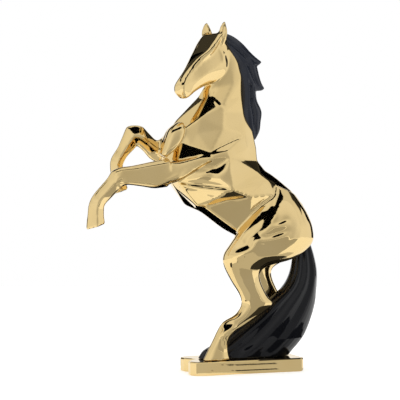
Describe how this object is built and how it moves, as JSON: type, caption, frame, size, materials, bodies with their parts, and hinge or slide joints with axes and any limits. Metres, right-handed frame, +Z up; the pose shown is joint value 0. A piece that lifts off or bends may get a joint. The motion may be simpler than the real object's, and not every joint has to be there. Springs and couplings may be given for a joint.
{
  "type": "horse sculpture",
  "caption": "Rearing horse figurine in glazed ceramic with faceted metallic body, dark mane and tail, standing on a low two-lobed base.",
  "frame": {"origin": "middle of the part's box, at the underside of the base, where the part rests", "axes": "+Z up; the horse faces -X, and its left side is towards -Y"},
  "size_m": [0.356, 0.118, 0.4958],
  "materials": {
    "gold_lustre": "mirror-bright metallic lustre fired over a smooth glaze",
    "black_glaze": "glossy black ceramic glaze on the mane and tail"
  },
  "bodies": {
    "root": {"horse": "gold_lustre", "base": "gold_lustre"}
  },
  "joints": []
}
